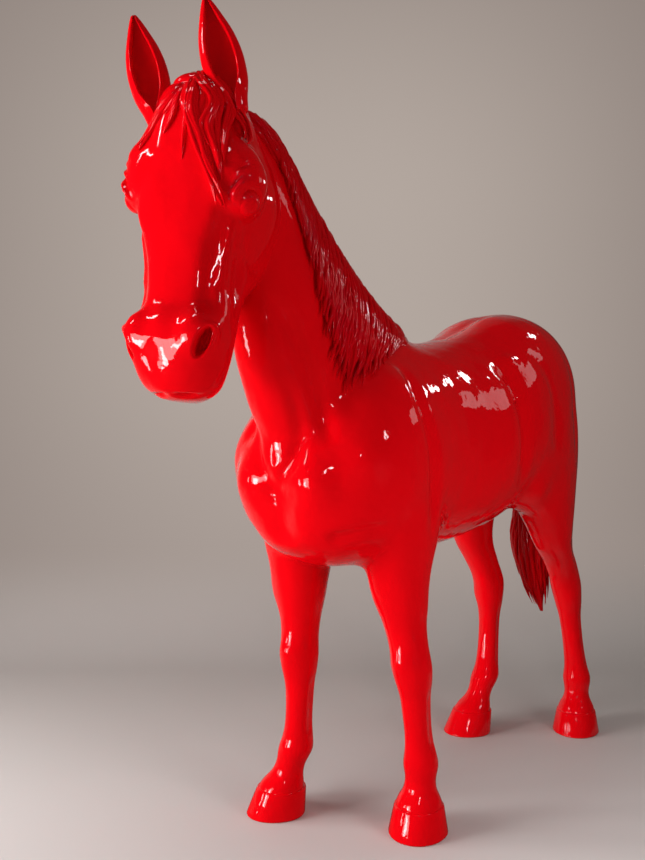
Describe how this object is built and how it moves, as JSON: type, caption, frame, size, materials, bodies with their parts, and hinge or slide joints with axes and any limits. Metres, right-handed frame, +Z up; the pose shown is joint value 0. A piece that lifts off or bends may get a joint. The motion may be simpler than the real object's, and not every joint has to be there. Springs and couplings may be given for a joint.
{
  "type": "horse sculpture",
  "caption": "Life-size standing horse sculpture in glossy red moulded skins, cast legs and hooves, over a welded steel frame with floor plates in the hooves.",
  "frame": {"origin": "middle of the bounding box on the floor under the hooves", "axes": "+Z up, the horse faces -Y, its left side is +X"},
  "size_m": [0.5996, 2.1446, 2.239],
  "materials": {
    "red_coat": "high-gloss red coat over moulded resin skins",
    "frame_steel": "bare welded steel tube and plate",
    "former_board": "plain plywood board"
  },
  "bodies": {
    "root": {"shoulder_cross_tube": "frame_steel", "hip_cross_tube": "frame_steel", "spine_tube": "frame_steel", "neck_tube": "frame_steel", "post_fore_left": "frame_steel", "floor_plate_fore_left": "frame_steel", "anchor_nut_fore_left": "frame_steel", "post_fore_right": "frame_steel", "floor_plate_fore_right": "frame_steel", "anchor_nut_fore_right": "frame_steel", "post_hind_left": "frame_steel", "floor_plate_hind_left": "frame_steel", "anchor_nut_hind_left": "frame_steel", "post_hind_right": "frame_steel", "floor_plate_hind_right": "frame_steel", "anchor_nut_hind_right": "frame_steel", "tail_pin": "frame_steel", "shoulder_former": "former_board", "hip_former": "former_board", "neck_former": "former_board", "trunk_shell_left": "red_coat", "trunk_shell_right": "red_coat", "neck_shell_left": "red_coat", "neck_shell_right": "red_coat", "tail": "red_coat", "mane": "red_coat", "foreleg_left": "red_coat", "foreleg_right": "red_coat", "hindleg_left": "red_coat", "hindleg_right": "red_coat", "hoof_fore_left": "red_coat", "hoof_fore_right": "red_coat", "hoof_hind_left": "red_coat", "hoof_hind_right": "red_coat", "head_shell_left": "red_coat", "head_shell_right": "red_coat", "eye_left": "red_coat", "eye_right": "red_coat", "ear_left": "red_coat", "ear_right": "red_coat", "forelock": "red_coat"}
  },
  "joints": []
}
